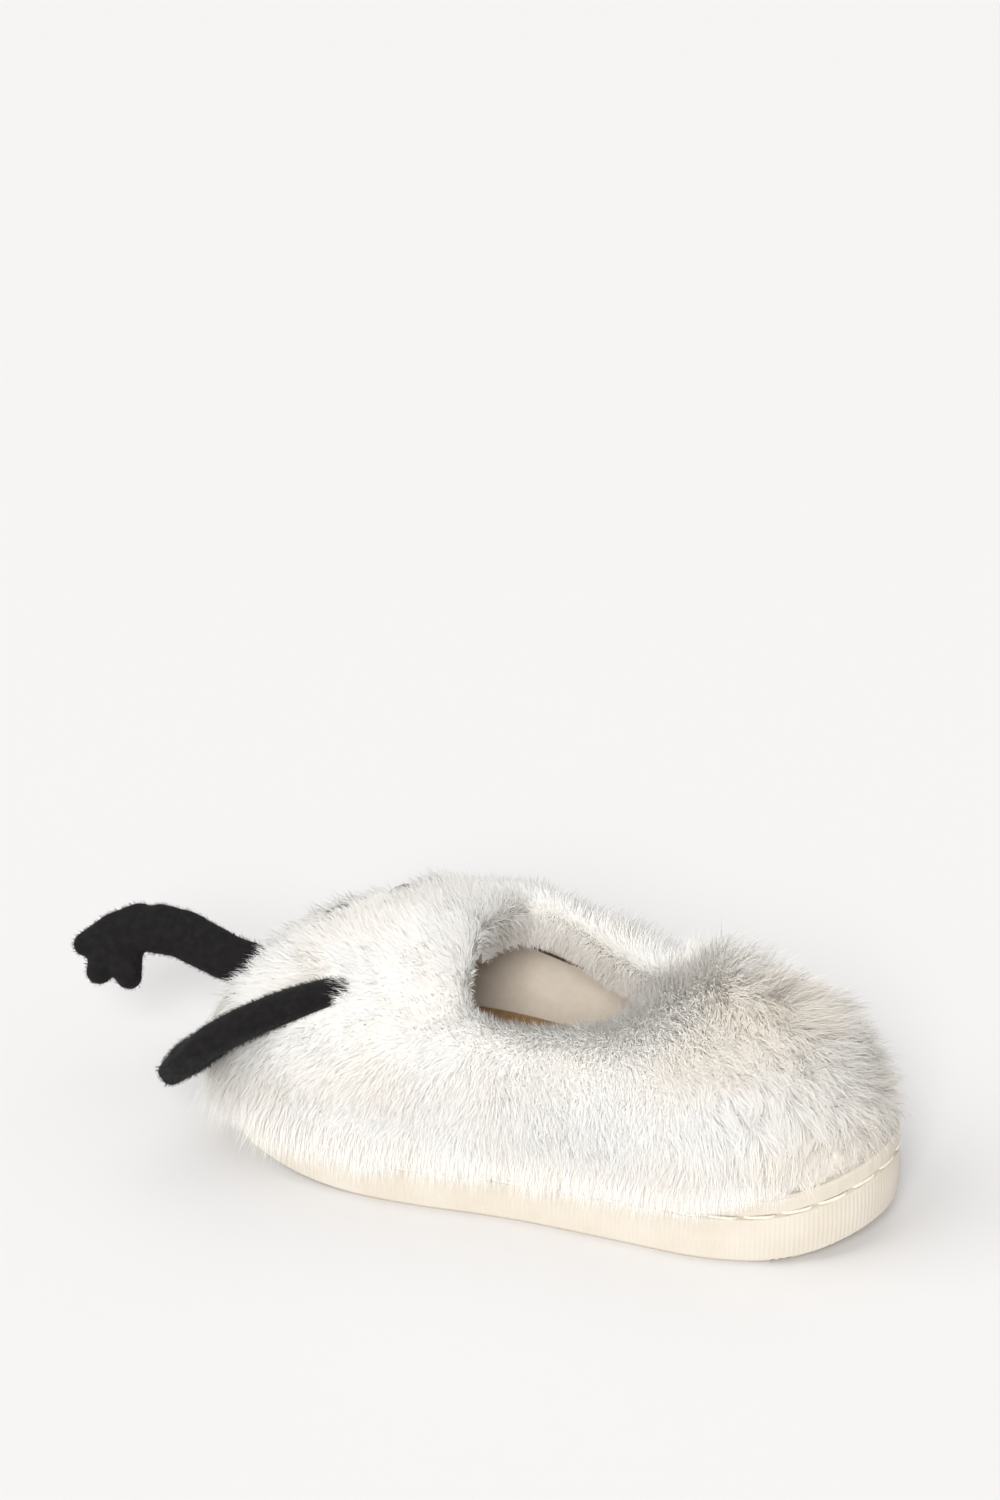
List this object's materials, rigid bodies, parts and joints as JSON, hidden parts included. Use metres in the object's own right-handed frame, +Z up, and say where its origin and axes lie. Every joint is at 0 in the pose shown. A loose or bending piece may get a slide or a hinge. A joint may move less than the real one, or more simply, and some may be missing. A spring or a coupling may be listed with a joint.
{
  "type": "slipper",
  "caption": "Plush monster slipper for a child's right foot, with a hollow fluffy upper open at the collar, a stitched cup sole, padded footbed, stuffed arms and small domed eyes.",
  "frame": {"origin": "on the floor under the heel, 40 mm in front of the sole's back end and on its middle line", "axes": "+X from the heel to the toes, +Y to the inner (medial) side of the foot, +Z up"},
  "size_m": [0.2266, 0.0869, 0.0694],
  "materials": {
    "sole_rubber": "matte cream foam rubber with fine upright ribs",
    "footbed": "ochre-brown napped footbed cloth",
    "plush": "long off-white plush pile",
    "dark_plush": "short near-black plush",
    "eye_plastic": "glossy dark slate"
  },
  "bodies": {
    "root": {"outsole": "sole_rubber", "insole": "footbed", "upper": "plush", "arm_medial": "dark_plush", "arm_lateral": "dark_plush", "eye_medial": "eye_plastic", "eye_lateral": "eye_plastic"}
  },
  "joints": []
}
